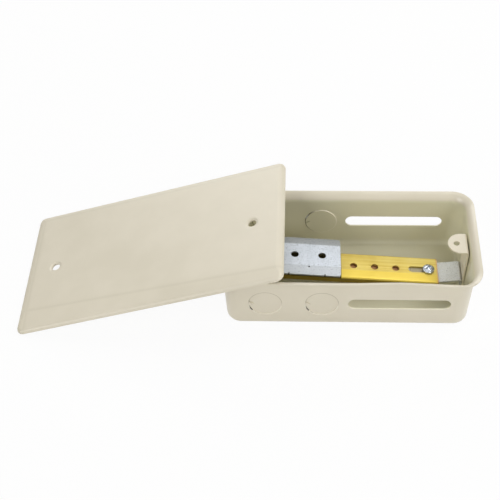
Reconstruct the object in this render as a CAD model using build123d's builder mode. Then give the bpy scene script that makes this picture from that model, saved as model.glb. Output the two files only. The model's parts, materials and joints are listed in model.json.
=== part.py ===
from build123d import *
from math import acos, atan2, cos, degrees, hypot, radians, sin, tan
import os

# A flush steel enclosure for wiring, with its oversize cover plate taken off and leaning on it.
# The body is one deep drawn sheet with a bell-mouthed rim. Inside, a slotted channel bar is
# clamped between two foot straps, and a galvanised saddle plate bridges part of it.
# Millimetres. Origin at the centre of the underside, X along the length, Y to the back, Z up.

# Drawn body
box_length = 178.2          # over the rim
box_width = 88.8            # over the rim
box_height = 47.4
box_sheet = 1.0
rim_overhang = 4.7          # rim beyond the walls
flare_radius = 6.0          # outer face of the bell mouth
wall_corner = 10.5
end_draft = 2.4             # degrees, the long walls stand square
base_round = 5.0

# Openings of the long walls
slot_width = 9.5
slot_z = 22.4
slot_end_gap = 15.0         # from the slot to the right end of the wall
slot_knockout_gap = 6.5     # land between the slot and the knockout beside it
knockout_diameter = 22.2    # half inch trade size
knockout_end_gap = 28.6     # from the left end of the wall to the first knockout's axis
knockout_pitch = 38.4
knockout_z = 22.2
knockout_push = 0.6         # the blanks stand this far into the box
knockout_tie = 3.2          # half width and depth of the wedge that ties a blank to the wall
knockout_slit = 0.3         # width of the slits sheared right through beside the tie
knockout_slit_turn = 24.0   # degrees of slit each side of the tie

# Ear brackets
screw_spacing = 149.4       # cover screws, ear to ear
ear_depth = 6.4             # ear face below the rim
ear_width = 18.0
ear_sheet = 1.2
ear_reach = 5.9             # tip of the ear beyond its hole
ear_tap = 4.2               # tapping size of M5
ear_foot = 5.2              # lower end of the web above the underside
web_hole = 4.0              # a low and a high fixing hole in each web
web_clearance = 0.05        # paint between web and wall at the web's foot
web_lean = 1.0              # degrees, less than the wall's draft, so a gap opens upwards
bend_inside = 0.8

# Foot straps
strap_width = 18.0
strap_sheet = 1.2
strap_leg_above = 4.3       # leg above its rivet, up to the fold
strap_leg_below = 3.0
strap_lift = 1.8            # the fold stands this far above the seat under the bar
strap_bend = 0.4            # inside radius
rivet_hole = 3.3
rivet_diameter = 3.2
rivet_flange = 6.5
rivet_flange_height = 1.1
rivet_flange_side = 0.35    # straight part of the flange's edge
rivet_flange_flat = 3.4     # width of the flange's flat face
rivet_tail = 4.4
rivet_tail_height = 1.3
rivet_bore = 1.8
strap_dip = 2.0             # fall of the right strap before the bar
strap_flat = 18.5           # part that lies under the bar
strap_ease = 1.6            # length over which the right one rises to the bar again
strap_margin = 0.8          # beyond the bar's end where each strap turns

# Slotted bar
bar_gap_right = 16.3        # from its right end to the web's foot
bar_gap_left = 13.1
bar_width = 23.5
bar_depth = 5.0
bar_sheet = 1.5
bar_bend = 1.6
bar_top_z = 13.33           # top face at the right end
bar_slope = 4.4             # degrees, rising to the left
bar_offset = -0.4           # the whole inner fitting sits this far to the front
bar_hole = 5.0
bar_hole_pitch = 14.85
bar_hole_first = 29.6       # from the right end to the first round hole
bar_hole_land = 5.0         # least distance from the last one's axis to the far slot
bar_slot_length = 17.2
bar_slot_width = 5.3
bar_slot_end = 3.4          # land left beyond each slot

# Saddle plate
saddle_end_gap = 0.5        # from the plate's foot to the bar's left end
saddle_length = 42.0        # raised part with wings
saddle_land = 2.0           # raised part without wings, before the joggle
saddle_lift = 8.3           # top of plate above top of bar
saddle_sheet = 1.2
saddle_middle = 20.3
saddle_wing = 7.1
saddle_wing_slope = 11.0
saddle_hole = 5.5
saddle_hole_first = 12.9    # from the right end to the first hole
saddle_hole_pitch = 19.0
saddle_hole_count = 2
saddle_pip = 1.3
saddle_pip_x = 22.0
saddle_pip_y = 10.8
saddle_nick_x = (10.9, 35.9)
saddle_nick = 1.0
saddle_leg_run = 4.5
saddle_foot = 14.0
saddle_corner = 1.6

# Clamp screws and nuts, M4
screw_diameter = 4.0
screw_length = 8.0
screw_head = 8.2
screw_head_height = 3.1
screw_head_side = 1.4       # straight part of the head's side
screw_point = 0.5
screw_hole = 4.4
recess_width = 1.0
recess_span = 4.4
recess_depth = 1.5
nut_flats = 7.0
nut_height = 3.2
nut_clearance = 0.05
screw_end_gap = 6.6         # screw axis from the bar's end

# Cover plate
cover_border_length = 8.1   # beyond each end of the rim, once it is screwed on
cover_border_width = 10.8   # beyond each side of the rim
cover_lip = 3.2             # depth of the rolled edge
cover_sheet = 1.1
cover_roll = 2.6            # outer radius of the rolled edge
cover_corner = 5.5
cover_hole = 5.5            # clears M5
cover_dimple = 9.0          # width of the set-down round each screw hole
cover_dimple_floor = 7.4    # width of its flat floor
cover_dimple_depth = 0.5
cover_reach = 138.6         # its left edge on the floor, beyond the rim
cover_shift = 3.2           # to the back of the box's centre line
cover_gap = 0.05            # running paint gap between underside and rim

# Worked out from the sizes above
flare_inside = flare_radius + box_sheet
flare_turn = acos(1 - rim_overhang / flare_radius)
neck_z = box_height - flare_inside * sin(flare_turn)
neck_length = box_length - 2 * rim_overhang
neck_width = box_width - 2 * rim_overhang
end_fall = tan(radians(end_draft))
base_length = neck_length - 2 * neck_z * end_fall
floor_length = neck_length - 2 * (neck_z - box_sheet) * end_fall - 2 * box_sheet
side_y = neck_width / 2
tie_turn = degrees(atan2(knockout_tie, knockout_diameter / 2 + knockout_tie))
knockout_first = knockout_end_gap - neck_length / 2
knockout_places = (knockout_first, knockout_first + knockout_pitch)
slot_left = knockout_places[-1] + knockout_diameter / 2 + slot_knockout_gap
slot_right = neck_length / 2 - slot_end_gap
lean = radians(web_lean)
slope = radians(bar_slope)
ear_top = box_height - ear_depth
ear_x = screw_spacing / 2
cover_length = box_length + 2 * cover_border_length
cover_width = box_width + 2 * cover_border_width


def end_inner(z):
    """Inner face of the end walls at a height."""
    return neck_length / 2 - (neck_z - z) * end_fall - box_sheet


def web_back(z):
    """X of the right web's outer face at a height."""
    return end_inner(ear_foot) - web_clearance + (z - ear_foot) * tan(lean)


def off_web(z, depth):
    """X of a point that lies square inside that face, at a height."""
    return web_back(z) - depth / cos(lean)


def web_plane(hand, z):
    """Plane on a web's outer face, facing out of the box, on the inner fitting's line."""
    return Plane(
        origin=(hand * web_back(z), bar_offset, z),
        x_dir=(0, 1, 0),
        z_dir=(hand * cos(lean), 0, -sin(lean)),
    )


def web_section(hand, z):
    """Upright plane through a web, local X out of the box and local Y up the web."""
    return Plane(
        origin=(hand * web_back(z), bar_offset, z),
        x_dir=(hand * cos(lean), 0, -sin(lean)),
        z_dir=(0, -hand, 0),
    )


web_foot = off_web(ear_foot, ear_sheet)
bar_right = web_foot - bar_gap_right
bar_length = (bar_right + web_foot - bar_gap_left) / cos(slope)


def bar_plane(along, rise=0.0):
    """Plane on the bar's top face, along measured from its right end, rise square to it."""
    return Plane(
        origin=(
            bar_right - along * cos(slope) + rise * sin(slope),
            bar_offset,
            bar_top_z + along * sin(slope) + rise * cos(slope),
        ),
        x_dir=(cos(slope), 0, -sin(slope)),
        z_dir=(sin(slope), 0, cos(slope)),
    )


def bar_section(along, rise=0.0):
    """Plane across the bar, facing its left end, local Y up."""
    return Plane(
        origin=bar_plane(along, rise).origin,
        x_dir=(0, -1, 0),
        z_dir=(-cos(slope), 0, sin(slope)),
    )


def bar_side(along, rise=0.0):
    """Plane along the bar, seen from the front, local X to the right and local Y up."""
    return Plane(
        origin=bar_plane(along, rise).origin,
        x_dir=(cos(slope), 0, -sin(slope)),
        z_dir=(0, -1, 0),
    )


def under_bar(x, depth):
    """Height of a point that lies square below the bar's top face, at an X."""
    return bar_top_z + (bar_right - x) * tan(slope) - depth / cos(slope)


def under_strap(x):
    """Point of a foot strap's middle line where the strap lies under the bar."""
    return (x, under_bar(x, bar_sheet + strap_sheet / 2))


right_turn = bar_right + strap_margin
left_turn = bar_right - bar_length * cos(slope) - strap_margin
rivet_low = under_strap(right_turn)[1] + strap_lift - strap_leg_above
rivet_high = under_strap(left_turn)[1] + strap_lift - strap_leg_above


def write(part, name):
    """Label a finished piece and write its STEP file."""
    part.label = name
    export_step(part, f"parts/{name}.step")


os.makedirs("parts", exist_ok=True)

# Space inside the drawn body, up to the neck
with BuildPart() as cavity:
    with BuildSketch(Plane.XY.offset(box_sheet)):
        RectangleRounded(floor_length, neck_width - 2 * box_sheet, wall_corner - box_sheet)
    with BuildSketch(Plane.XY.offset(neck_z)):
        RectangleRounded(
            neck_length - 2 * box_sheet, neck_width - 2 * box_sheet, wall_corner - box_sheet
        )
    loft()
    fillet(cavity.faces().sort_by(Axis.Z)[0].edges(), base_round - box_sheet)

# Outline of the neck, followed by the section of the bell mouth
with BuildLine(Plane.XY.offset(neck_z)) as rim_path:
    FilletPolyline(
        (0, -side_y),
        (neck_length / 2, -side_y),
        (neck_length / 2, side_y),
        (0, side_y),
        radius=wall_corner,
    )
    mirror(about=Plane.YZ)
with BuildPart() as bell:
    with BuildSketch(Plane(origin=(0, -side_y, neck_z), x_dir=(0, -1, 0), z_dir=(-1, 0, 0))):
        with BuildLine():
            turn = degrees(flare_turn)
            under = CenterArc((flare_radius, 0), flare_radius, 180, -turn)
            over = CenterArc((flare_radius, 0), flare_inside, 180, -turn)
            Line(under @ 0, over @ 0)
            Line(under @ 1, over @ 1)
        make_face()
    sweep(path=rim_path.wires()[0])

with BuildPart() as box_body:
    with BuildSketch(Plane.XY):
        RectangleRounded(base_length, neck_width, wall_corner)
    with BuildSketch(Plane.XY.offset(neck_z)):
        RectangleRounded(neck_length, neck_width, wall_corner)
    loft()
    fillet(box_body.faces().sort_by(Axis.Z)[0].edges(), base_round)
    add(cavity.part, mode=Mode.SUBTRACT)
    add(bell.part)
    # a slot with full round ends in each long wall
    with BuildSketch(Plane.XZ):
        with Locations(((slot_left + slot_right) / 2, slot_z)):
            SlotOverall(slot_right - slot_left, slot_width)
    extrude(amount=box_width, both=True, mode=Mode.SUBTRACT)
    # part-sheared knockout blanks, pushed inwards and held by one tie on their left
    for side in (-1, 1):
        outer = Plane.XZ.offset(-side * side_y)
        inner = Plane.XZ.offset(-side * (side_y - box_sheet))
        for centre_x in knockout_places:
            for face, mode in ((outer, Mode.SUBTRACT), (inner, Mode.ADD)):
                tie_x = centre_x - knockout_diameter / 2
                with BuildSketch(face):
                    with Locations((centre_x, knockout_z)):
                        Circle(knockout_diameter / 2)
                    with BuildLine():
                        Polyline(
                            (tie_x - knockout_tie, knockout_z - knockout_tie),
                            (tie_x + knockout_tie, knockout_z),
                            (tie_x - knockout_tie, knockout_z + knockout_tie),
                            close=True,
                        )
                    make_face(mode=Mode.SUBTRACT)
                extrude(amount=side * knockout_push, mode=mode)
            with BuildSketch(outer):
                for start in (180 + tie_turn, 180 - tie_turn - knockout_slit_turn):
                    with BuildLine():
                        CenterArc(
                            (centre_x, knockout_z), knockout_diameter / 2, start, knockout_slit_turn
                        )
                    trace(line_width=knockout_slit)
            extrude(amount=box_sheet, both=True, mode=Mode.SUBTRACT)
    # a hole in each end wall for the rivet of its foot strap
    for hand, height in ((1, rivet_low), (-1, rivet_high)):
        with BuildSketch(web_plane(hand, height)):
            Circle(rivet_hole / 2)
        extrude(amount=3 * box_sheet, mode=Mode.SUBTRACT)
write(box_body.part, "box_body")

# Ear brackets, a web down each end wall with a tapped ear folded inwards
ear_middle = ear_top - ear_sheet / 2
ear_centre = ear_x - ear_reach + ear_width / 2
ear_back = web_back(ear_top)
for name, hand in (("right", 1), ("left", -1)):
    with BuildPart() as ear_bracket:
        with BuildSketch(Plane.XZ):
            with BuildLine():
                FilletPolyline(
                    (hand * off_web(ear_foot, ear_sheet / 2), ear_foot),
                    (hand * off_web(ear_middle, ear_sheet / 2), ear_middle),
                    (hand * (ear_x - ear_reach), ear_middle),
                    radius=bend_inside + ear_sheet / 2,
                )
            trace(line_width=ear_sheet)
        extrude(amount=ear_width / 2, both=True)
        # round end of the ear, struck about a centre on its own middle line
        with BuildSketch(Plane.XY):
            with Locations((hand * ear_centre, 0)):
                Circle(ear_width / 2)
            with Locations((hand * ear_back, 0)):
                Rectangle(2 * (ear_back - ear_centre), ear_width)
        extrude(amount=box_height, mode=Mode.INTERSECT)
        with BuildSketch(Plane.XY.offset(ear_top)):
            with Locations((hand * ear_x, 0)):
                Circle(ear_tap / 2)
        extrude(amount=-2 * ear_sheet, mode=Mode.SUBTRACT)
        for height in (rivet_low, rivet_high):
            with BuildSketch(web_plane(hand, height)):
                Circle(web_hole / 2)
            extrude(amount=-2 * ear_sheet, mode=Mode.SUBTRACT)
    write(ear_bracket.part, f"ear_bracket_{name}")

# Foot straps, riveted to the web's low hole on the right and to its high one on the left,
# which gives the bar its slope
strap_grip = ear_sheet + strap_sheet
leg_middle = strap_grip - strap_sheet / 2
rise_x = right_turn - strap_ease
strap_seats = {
    "right": (
        (right_turn, rivet_low + strap_leg_above - strap_dip),
        under_strap(rise_x),
        under_strap(rise_x - strap_flat),
    ),
    "left": (
        under_strap(left_turn),
        under_strap(left_turn + strap_ease + strap_flat),
    ),
}
screw_places = {"right": screw_end_gap, "left": bar_length - screw_end_gap}
for name, hand, height in (("right", 1, rivet_low), ("left", -1, rivet_high)):
    leg_ends = (height - strap_leg_below, height + strap_leg_above)
    leg = [(hand * off_web(z, leg_middle), z) for z in leg_ends]
    with BuildPart() as foot_strap:
        with BuildSketch(Plane.XZ.offset(-bar_offset)):
            with BuildLine():
                FilletPolyline(*leg, *strap_seats[name], radius=strap_bend + strap_sheet / 2)
            trace(line_width=strap_sheet)
        extrude(amount=strap_width / 2, both=True)
        with BuildSketch(bar_plane(screw_places[name])):
            Circle(screw_hole / 2)
        extrude(amount=-2 * bar_depth, mode=Mode.SUBTRACT)
        with BuildSketch(web_plane(hand, height)):
            Circle(rivet_hole / 2)
        extrude(amount=-2 * strap_grip, mode=Mode.SUBTRACT)
    write(foot_strap.part, f"foot_strap_{name}")

# Slotted bar, a channel open below
far_slot = bar_length - bar_slot_end - bar_slot_length
bar_hole_count = 1 + int((far_slot - bar_hole_land - bar_hole_first) / bar_hole_pitch)
with BuildPart() as slotted_bar:
    with BuildSketch(bar_section(0)) as channel:
        with Locations((0, -bar_depth / 2)):
            Rectangle(bar_width, bar_depth)
        fillet(channel.vertices().sort_by(Axis.Y)[-2:], bar_bend)
        with Locations((0, -(bar_depth + bar_sheet) / 2)):
            Rectangle(bar_width - 2 * bar_sheet, bar_depth - bar_sheet, mode=Mode.SUBTRACT)
    extrude(amount=bar_length)
    with BuildSketch(bar_plane(0)):
        for number in range(bar_hole_count):
            with Locations((-bar_hole_first - number * bar_hole_pitch, 0)):
                Circle(bar_hole / 2)
        slot_middle = bar_slot_end + bar_slot_length / 2
        with Locations((-slot_middle, 0), (slot_middle - bar_length, 0)):
            SlotOverall(bar_slot_length, bar_slot_width)
    extrude(amount=-2 * bar_sheet, mode=Mode.SUBTRACT)
write(slotted_bar.part, "slotted_bar")

# Saddle plate, a long plate with two falling wings, joggled down to the bar at its left end
wing_y = saddle_middle / 2 + saddle_wing * cos(radians(saddle_wing_slope))
wing_drop = saddle_wing * sin(radians(saddle_wing_slope))
foot_left = bar_length - saddle_end_gap
foot_right = foot_left - saddle_foot
saddle_left = foot_right - saddle_leg_run - saddle_land
saddle_right = saddle_left - saddle_length
with BuildPart() as saddle_plate:
    with BuildSketch(bar_section(saddle_right, saddle_lift - saddle_sheet / 2)):
        with BuildLine():
            FilletPolyline(
                (-wing_y, -wing_drop),
                (-saddle_middle / 2, 0),
                (saddle_middle / 2, 0),
                (wing_y, -wing_drop),
                radius=bend_inside + saddle_sheet / 2,
            )
        trace(line_width=saddle_sheet)
    extrude(amount=saddle_length, dir=bar_section(0).z_dir)
    with BuildSketch(bar_plane(0, saddle_lift + saddle_sheet)):
        with Locations((-saddle_right - saddle_length / 2, 0)):
            RectangleRounded(saddle_length, 2 * wing_y, saddle_corner)
    extrude(amount=-saddle_lift, mode=Mode.INTERSECT)
    with BuildSketch(bar_side(0)):
        with BuildLine():
            FilletPolyline(
                (-saddle_left, saddle_lift - saddle_sheet / 2),
                (-saddle_left - saddle_land, saddle_lift - saddle_sheet / 2),
                (-foot_right, saddle_sheet / 2),
                (-foot_left, saddle_sheet / 2),
                radius=bend_inside + saddle_sheet / 2,
            )
        trace(line_width=saddle_sheet)
    extrude(amount=saddle_middle / 2, both=True)
    with BuildSketch(bar_plane(0, saddle_lift + saddle_sheet)):
        for number in range(saddle_hole_count):
            with Locations((-saddle_right - saddle_hole_first - number * saddle_hole_pitch, 0)):
                Circle(saddle_hole / 2)
        with Locations((-saddle_right - saddle_pip_x, -saddle_pip_y)):
            Circle(saddle_pip / 2)
        for nick_x in saddle_nick_x:
            with Locations((-saddle_right - nick_x, -wing_y)):
                Rectangle(saddle_nick, 2 * saddle_nick)
    extrude(amount=-saddle_lift / 2, mode=Mode.SUBTRACT)
    with BuildSketch(bar_plane(screw_places["left"])):
        Circle(screw_hole / 2)
    extrude(amount=2 * saddle_sheet, mode=Mode.SUBTRACT)
write(saddle_plate.part, "saddle_plate")

# Clamp screws and their nuts, one at each end of the bar
stack = bar_sheet + strap_sheet
dome_rise = screw_head_height - screw_head_side
dome_radius = (screw_head**2 / 4 + dome_rise**2) / (2 * dome_rise)
with BuildPart() as clamp_screws:
    for along, rise in ((screw_places["right"], 0), (screw_places["left"], saddle_sheet)):
        seat = bar_plane(along, rise)
        with BuildSketch(bar_side(along, rise)):
            with BuildLine():
                Polyline(
                    (screw_head / 2, screw_head_side),
                    (screw_head / 2, 0),
                    (screw_diameter / 2, 0),
                    (screw_diameter / 2, screw_point - screw_length),
                    (screw_diameter / 2 - screw_point, -screw_length),
                    (0, -screw_length),
                    (0, screw_head_height),
                )
                RadiusArc(
                    (0, screw_head_height), (screw_head / 2, screw_head_side), dome_radius
                )
            make_face()
        revolve(axis=Axis(seat.origin, seat.z_dir))
        with BuildSketch(bar_plane(along, rise + screw_head_height)):
            Rectangle(recess_span, recess_width)
            Rectangle(recess_width, recess_span)
        extrude(amount=-recess_depth, mode=Mode.SUBTRACT)
write(clamp_screws.part, "clamp_screws")

with BuildPart() as clamp_nuts:
    for along in screw_places.values():
        with BuildSketch(bar_plane(along, -stack)):
            RegularPolygon(nut_flats / 2, 6, major_radius=False, rotation=30)
            Circle(screw_diameter / 2 + nut_clearance, mode=Mode.SUBTRACT)
        extrude(amount=-nut_height)
write(clamp_nuts.part, "clamp_nuts")

# Blind rivets through end wall, web and strap leg, flange outside
with BuildPart() as strap_rivets:
    for hand, height in ((1, rivet_low), (-1, rivet_high)):
        # the flange's upper edge touches the wall, which leans out more than the rivet's seat
        wall_outside = end_inner(height) + box_sheet
        flange_lean = rivet_flange / 2 * (end_fall - tan(lean))
        flange_seat = wall_outside - web_back(height) + flange_lean
        section = web_section(hand, height)
        with BuildSketch(section):
            with BuildLine():
                Polyline(
                    (flange_seat + rivet_flange_height, rivet_bore / 2),
                    (flange_seat + rivet_flange_height, rivet_flange_flat / 2),
                    (flange_seat + rivet_flange_side, rivet_flange / 2),
                    (flange_seat, rivet_flange / 2),
                    (flange_seat, rivet_diameter / 2),
                    (-strap_grip, rivet_diameter / 2),
                    (-strap_grip, rivet_tail / 2),
                    (-strap_grip - rivet_tail_height, rivet_diameter / 2),
                    (-strap_grip - rivet_tail_height, rivet_bore / 2),
                    close=True,
                )
            make_face()
        revolve(axis=Axis(section.origin, section.x_dir))
write(strap_rivets.part, "strap_rivets")

# Cover plate, a shallow pan with rolled edges. It lies face up, its left edge on the
# floor and its underside on the upper corner of the left lip, whose place comes first here.
lip_x = -neck_length / 2 - flare_radius + flare_inside * cos(flare_turn)
cover_x = -box_length / 2 - cover_reach
cover_inside = cover_lip - cover_sheet
lip_reach = hypot(lip_x - cover_x, box_height)
lip_turn = atan2(lip_x - cover_x, box_height)
tilt = acos((cover_inside - cover_gap) / lip_reach) - lip_turn


def cover_plane(along=0.0, rise=0.0):
    """Plane of the cover, along measured from its left edge, rise square to it."""
    return Plane(
        origin=(
            cover_x + along * cos(tilt) - rise * sin(tilt),
            cover_shift,
            along * sin(tilt) + rise * cos(tilt),
        ),
        x_dir=(cos(tilt), 0, sin(tilt)),
        z_dir=(-sin(tilt), 0, cos(tilt)),
    )


cover_middle = cover_length / 2
cover_up = Axis((0, 0, 0), cover_plane().z_dir)
cover_holes = (cover_middle - ear_x, cover_middle + ear_x)
with BuildPart() as cover_void:
    with BuildSketch(cover_plane(cover_middle)):
        RectangleRounded(
            cover_length - 2 * cover_sheet,
            cover_width - 2 * cover_sheet,
            cover_corner - cover_sheet,
        )
    extrude(amount=cover_inside)
    fillet(cover_void.faces().sort_by(cover_up)[-1].edges(), cover_roll - cover_sheet)

with BuildPart() as cover_plate:
    with BuildSketch(cover_plane(cover_middle)):
        RectangleRounded(cover_length, cover_width, cover_corner)
    extrude(amount=cover_lip)
    fillet(cover_plate.faces().sort_by(cover_up)[-1].edges(), cover_roll)
    add(cover_void.part, mode=Mode.SUBTRACT)
    # each screw hole sits in a shallow pressed dimple
    for along in cover_holes:
        with Locations(cover_plane(along, cover_inside - cover_dimple_depth / 2).location):
            Cone(cover_dimple_floor / 2, cover_dimple / 2, cover_dimple_depth)
        with Locations(cover_plane(along, cover_lip - cover_dimple_depth / 2).location):
            Cone(
                cover_dimple_floor / 2,
                cover_dimple / 2,
                cover_dimple_depth,
                mode=Mode.SUBTRACT,
            )
        with BuildSketch(cover_plane(along, cover_lip)):
            Circle(cover_hole / 2)
        extrude(amount=-2 * cover_lip, mode=Mode.SUBTRACT)
write(cover_plate.part, "cover_plate")
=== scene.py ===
"""Looks of a flush steel wiring enclosure with its cover leaning on it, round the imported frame."""

import json
import logging
import math
from collections.abc import Callable
from dataclasses import dataclass, field
from enum import Enum
from functools import partial

import bmesh
import bpy
import numpy as np
from mathutils import Matrix, Vector


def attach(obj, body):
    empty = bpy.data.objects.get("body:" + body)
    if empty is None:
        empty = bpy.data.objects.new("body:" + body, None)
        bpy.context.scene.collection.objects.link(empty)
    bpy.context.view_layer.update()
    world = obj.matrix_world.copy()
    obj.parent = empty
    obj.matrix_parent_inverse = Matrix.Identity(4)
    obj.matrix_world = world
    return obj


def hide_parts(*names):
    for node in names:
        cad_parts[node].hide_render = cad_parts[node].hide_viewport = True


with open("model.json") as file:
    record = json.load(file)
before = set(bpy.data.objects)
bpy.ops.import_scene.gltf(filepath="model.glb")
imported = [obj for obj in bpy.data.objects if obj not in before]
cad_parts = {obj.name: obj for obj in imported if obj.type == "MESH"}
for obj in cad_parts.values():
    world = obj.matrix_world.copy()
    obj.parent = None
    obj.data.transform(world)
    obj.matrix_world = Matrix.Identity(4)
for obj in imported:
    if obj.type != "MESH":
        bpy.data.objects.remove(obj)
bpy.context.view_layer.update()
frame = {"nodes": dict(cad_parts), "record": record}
LOG = logging.getLogger("enclosure")
MM = 0.001
# Distances within which points merge, slivers go, and a cut meets a point.
MERGE_MM, SLIVER_MM, TOUCH_MM = 0.001, 0.0005, 0.0001
# Rounds of a softened edge, and the turn above which an edge is softened.
SOFT_ROUNDS, SOFT_TURN_DEG = 2, 40.0
# Turn above which an edge of a computed piece stays sharp.
COMPUTED_CREASE_DEG = 35.0
# Values between which a noise texture mostly lies.
NOISE = (0.3, 0.7)
# Sockets of a Map Range node, and of a colour Mix node, whose names aren't unique.
RANGE = ("From Min", "From Max", "To Min", "To Max")
SHARE, UNDER, OVER, MIXED = 0, 6, 7, 2
Tree = bpy.types.NodeTree
Socket = bpy.types.NodeSocket
Settings = dict[str | int, object]
Links = dict[str | int, Socket]
Patterns = tuple[Socket, Socket, Socket]
Adder = Callable[..., bpy.types.bpy_prop_collection]


class Slot(Enum):
    """Material slots of the record."""

    CREAM = "cream_paint"
    GALVANISED = "galvanised_steel"
    YELLOW = "yellow_zinc"
    BRIGHT = "bright_zinc"
    RIVET = "rivet_aluminium"


def linear(colour: str) -> tuple[float, float, float, float]:
    """Linear RGBA of an sRGB hex colour, by the curve of the sRGB standard.

    Args:
        colour: Six hex digits after a hash sign.

    Returns:
        Four numbers from 0 to 1.
    """
    parts = [int(colour[place : place + 2], 16) / 255 for place in (1, 3, 5)]
    red, green, blue = (
        part / 12.92 if part <= 0.04045 else ((part + 0.055) / 1.055) ** 2.4 for part in parts
    )
    return red, green, blue, 1.0


def per_metre(size_mm: float) -> float:
    """Texture scale whose pattern repeats about every size_mm on Object coordinates."""
    return 1.0 / (size_mm * MM)


def add_node(
    tree: Tree, kind: str, settings: Settings | None = None, links: Links | None = None
) -> bpy.types.bpy_prop_collection:
    """Adds one node with its settings and its incoming links.

    Args:
        tree: Node tree that gets the node.
        kind: Blender's type name of the node, without "ShaderNode".
        settings: Values by input socket or by attribute name. Under "stops" are the places and
            hex colours of a colour ramp, in rising order.
        links: Source sockets by input socket.

    Returns:
        The outputs of the new node.
    """
    made = tree.nodes.new(f"ShaderNode{kind}")
    for name, value in (settings or {}).items():
        if name == "stops":
            band = made.color_ramp
            while len(band.elements) < len(value):
                band.elements.new(0.5)
            for element, (place, colour) in zip(band.elements, value):
                element.position = place
                element.color = linear(colour)
        elif isinstance(name, int) or name in made.inputs:
            made.inputs[name].default_value = value
        else:
            setattr(made, name, value)
    for name, source in (links or {}).items():
        tree.links.new(source, made.inputs[name])
    return made.outputs


def fresh_nodes(owner: bpy.types.Material | bpy.types.World) -> Adder:
    """Empties a node tree.

    Args:
        owner: The material or world that has it.

    Returns:
        What adds a node to that tree.
    """
    owner.use_nodes = True
    owner.node_tree.nodes.clear()
    return partial(add_node, owner.node_tree)


def in_scene(name: str, data: bpy.types.ID) -> bpy.types.Object:
    """Puts a new object into the scene.

    Args:
        name: Name of the object.
        data: Its mesh, light or camera.

    Returns:
        The object.
    """
    made = bpy.data.objects.new(name, data)
    bpy.context.scene.collection.objects.link(made)
    return made


@dataclass(frozen=True)
class Finish:
    """A finish whose colour, roughness and bump follow the object's own coordinates.

    Attributes:
        name: Common name of the material and how its surface was made.
        roughness: Least and greatest roughness.
        metallic: Share of bare metal.
        gloss_range: Values of the gloss pattern at which the roughness is least and greatest.
        relief_mm: Depth of the relief, none at 0.
    """

    name: str
    roughness: tuple[float, float]
    metallic: float = 0.0
    gloss_range: tuple[float, float] = NOISE
    relief_mm: float = 0.0

    def patterns(self, add: Adder, place: Socket) -> Patterns:
        """Patterns of the finish.

        Args:
            add: Adds a node to the material's tree.
            place: Object coordinates.

        Returns:
            The colour, the pattern of the gloss and that of the relief.
        """
        raise NotImplementedError

    def constants(self) -> Settings:
        """Constant values of the shader."""
        return {"Metallic": self.metallic}

    def material(self) -> bpy.types.Material:
        """Makes the material.

        Returns:
            The material, whose patterns feed one shader.
        """
        material = bpy.data.materials.new(self.name)
        add = fresh_nodes(material)
        colour, gloss, relief = self.patterns(add, add("TexCoord")["Object"])
        span = dict(zip(RANGE, self.gloss_range + self.roughness))
        rough = add("MapRange", span, {"Value": gloss})["Result"]
        links = {"Base Color": colour, "Roughness": rough}
        if self.relief_mm:
            depth = {"Strength": 1.0, "Distance": self.relief_mm * MM}
            links["Normal"] = add("Bump", depth, {"Height": relief})["Normal"]
        shader = add("BsdfPrincipled", self.constants(), links)
        add("OutputMaterial", links={"Surface": shader["BSDF"]})
        return material


@dataclass(frozen=True)
class PowderCoat(Finish):
    """Cream polyester powder coat on drawn steel.

    The powder melts and flows before it sets, which leaves a satin skin with a fine orange peel
    and a barely uneven thickness that shows as slow changes of tint.

    Attributes:
        patch_range: Noise of the patches at which the deep and the light tint are full.
        flow_share: Share of the clear skin that forms on top where the coat flowed most.
        flow_roughness: Roughness of that skin.
        speck_spacing_mm: Distance between the dull specks.
        speck_share: Their radius, in units of that distance.
        speck_strength: How much they hide the coat.
    """

    name: str = "powder_coat_cream"
    light: str = "#E3DBC7"
    deep: str = "#DED6C1"
    patch_mm: float = 34.0
    patch_range: tuple[float, float] = (0.35, 0.65)
    peel_mm: float = 1.4
    relief_mm: float = 0.012
    roughness: tuple[float, float] = (0.34, 0.46)
    flow_share: float = 0.0
    flow_roughness: float = 0.1
    speck: str = "#B4AB90"
    speck_spacing_mm: float = 30.0
    speck_share: float = 0.022
    speck_strength: float = 0.5

    def patterns(self, add: Adder, place: Socket) -> Patterns:
        """Slow patches of tint, a few dull specks and the orange peel.

        Args:
            add: Adds a node to the material's tree.
            place: Object coordinates.

        Returns:
            The colour, the pattern of the gloss and that of the relief.
        """
        cloud = {"Scale": per_metre(self.patch_mm), "Detail": 3.0, "Roughness": 0.55}
        patches = add("TexNoise", cloud, {"Vector": place})["Fac"]
        stops = list(zip(self.patch_range, (self.deep, self.light)))
        tint = add("ValToRGB", {"stops": stops}, {"Fac": patches})["Color"]
        cells = {"Scale": per_metre(self.speck_spacing_mm)}
        apart = add("TexVoronoi", cells, {"Vector": place})["Distance"]
        fade = (self.speck_share, 2 * self.speck_share, self.speck_strength, 0.0)
        near = add("MapRange", dict(zip(RANGE, fade)), {"Value": apart})["Result"]
        dull = {"data_type": "RGBA", OVER: linear(self.speck)}
        colour = add("Mix", dull, {SHARE: near, UNDER: tint})[MIXED]
        colour = self.marked(add, place, colour)
        grain = {"Scale": per_metre(self.peel_mm), "Detail": 1.0}
        peel = add("TexNoise", grain, {"Vector": place})["Fac"]
        return colour, patches, peel

    def constants(self) -> Settings:
        """Constant values of the shader, with the clear skin on top."""
        skin = {"Coat Weight": self.flow_share, "Coat Roughness": self.flow_roughness}
        return {"IOR": 1.5, **skin}

    def marked(self, add: Adder, place: Socket, colour: Socket) -> Socket:
        """The coat's colour as it is, on pieces without marks."""
        return colour


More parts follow.
